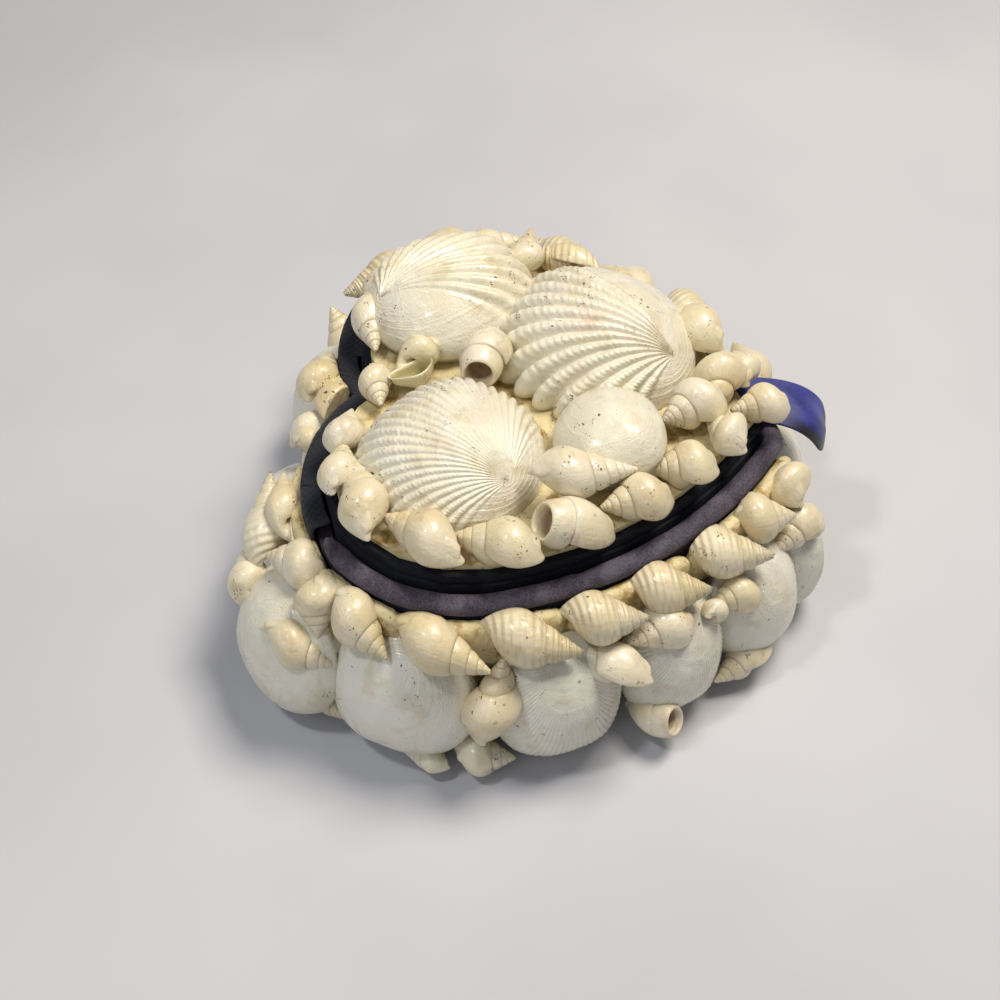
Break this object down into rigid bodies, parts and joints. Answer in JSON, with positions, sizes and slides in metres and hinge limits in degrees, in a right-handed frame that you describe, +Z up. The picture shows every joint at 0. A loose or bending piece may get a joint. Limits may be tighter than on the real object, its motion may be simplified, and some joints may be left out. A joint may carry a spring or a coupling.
{
  "type": "shell box",
  "caption": "Heart-shaped keepsake box with a padded velvet rim, its walls and hinged lid covered in varnished seashells, and a ribbon pull at the tip.",
  "frame": {"origin": "middle of the flat underside, halfway between the heart's tip and the backs of its lobes", "axes": "+Z up, the heart's tip points to -Y, its notch and cloth hinge are at +Y, and the ribbon pull is beside the tip on the +X side"},
  "size_m": [0.1052, 0.0968, 0.0478],
  "materials": {
    "velvet_board": "stiff board covered in plum-grey velvet",
    "plum_velvet": "plum-grey fuzzy velvet over padding",
    "navy_velvet": "stiff board covered in navy-black velvet",
    "hinge_fabric": "dark slate woven cloth",
    "blue_satin": "royal blue satin ribbon, soft sheen",
    "craft_glue": "dried craft glue, cream, yellow-brown where thick",
    "valve_shell": "ribbed cream seashell under clear gloss varnish",
    "whelk_shell": "ivory spiral seashell under clear gloss varnish"
  },
  "bodies": {
    "base": {"heart_box": "velvet_board", "lining_collar": "navy_velvet", "rim_roll": "plum_velvet", "hinge_cloth": "hinge_fabric", "wall_glue": "craft_glue", "whelk_upright": "whelk_shell", "whelk_foot": "whelk_shell", "whelk_run_1": "whelk_shell", "whelk_run_2": "whelk_shell", "whelk_run_3": "whelk_shell", "whelk_run_4": "whelk_shell", "whelk_run_5": "whelk_shell", "whelk_run_6": "whelk_shell", "whelk_run_7": "whelk_shell", "whelk_run_8": "whelk_shell", "wall_valve_01": "valve_shell", "wall_valve_02": "valve_shell", "wall_valve_03": "valve_shell", "wall_valve_04": "valve_shell", "wall_valve_05": "valve_shell", "wall_valve_06": "valve_shell", "wall_valve_07": "valve_shell", "wall_valve_08": "valve_shell", "wall_valve_09": "valve_shell", "wall_valve_10": "valve_shell", "wall_valve_11": "valve_shell", "wall_valve_12": "valve_shell", "wall_valve_13": "valve_shell"},
    "lid": {"lid_board": "navy_velvet", "ribbon_pull": "blue_satin", "lid_glue": "craft_glue", "spindle_top": "whelk_shell", "glossy_centre": "whelk_shell", "broken_centre": "whelk_shell", "clam_round": "valve_shell", "lid_whelk_01": "whelk_shell", "lid_whelk_02": "whelk_shell", "lid_whelk_03": "whelk_shell", "lid_whelk_04": "whelk_shell", "lid_whelk_05": "whelk_shell", "lid_whelk_06": "whelk_shell", "lid_whelk_07": "whelk_shell", "lid_whelk_08": "whelk_shell", "lid_whelk_09": "whelk_shell", "lid_whelk_10": "whelk_shell", "lid_whelk_11": "whelk_shell", "lid_whelk_12": "whelk_shell", "lid_whelk_13": "whelk_shell", "lid_whelk_14": "whelk_shell", "lid_whelk_15": "whelk_shell", "lid_whelk_16": "whelk_shell", "lid_whelk_17": "whelk_shell", "lid_whelk_18": "whelk_shell", "lid_whelk_19": "whelk_shell", "lid_whelk_20": "whelk_shell", "lid_whelk_21": "whelk_shell", "lid_whelk_22": "whelk_shell", "ark_front": "valve_shell", "ark_back": "valve_shell", "cockle_large": "valve_shell"}
  },
  "joints": [
    {"name": "lid_hinge", "type": "hinge", "parent": "base", "child": "lid", "pos_m": [0, 0.037, 0.033], "axis": [-1, 0, 0], "range_deg": [0, 100]}
  ]
}
